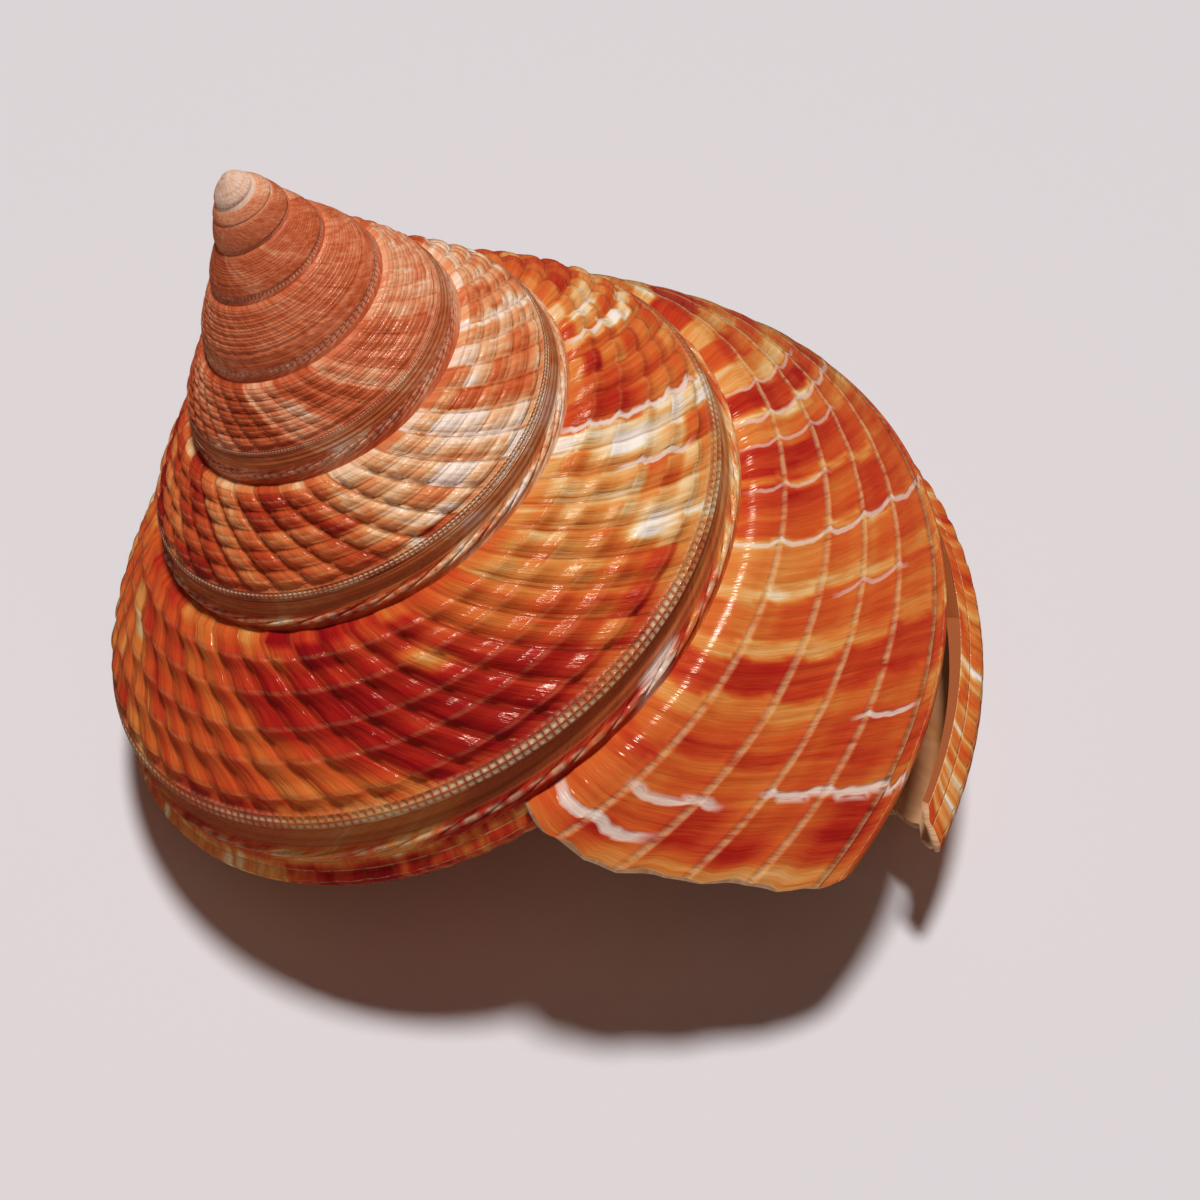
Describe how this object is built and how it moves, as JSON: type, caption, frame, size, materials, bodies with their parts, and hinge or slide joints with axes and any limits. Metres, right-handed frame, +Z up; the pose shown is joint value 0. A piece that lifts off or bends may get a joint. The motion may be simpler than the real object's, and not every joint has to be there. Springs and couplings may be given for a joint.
{
  "type": "slit shell",
  "caption": "Coiled top-shaped seashell with a low conical spire, spiral cords, a narrow slit in the outer lip and an open mouth, resting on its base.",
  "frame": {"origin": "centre of the bounding box in plan, on the resting plane", "axes": "+Z up from the resting plane, the tip of the spire leaning toward -X, the slit and lip on the +X side, the mouth open toward -Y and down"},
  "size_m": [0.0608, 0.0562, 0.0494],
  "materials": {
    "shell": "natural shell, orange-red and cream, low gloss with brighter cords"
  },
  "bodies": {
    "root": {"slit_shell": "shell"}
  },
  "joints": []
}
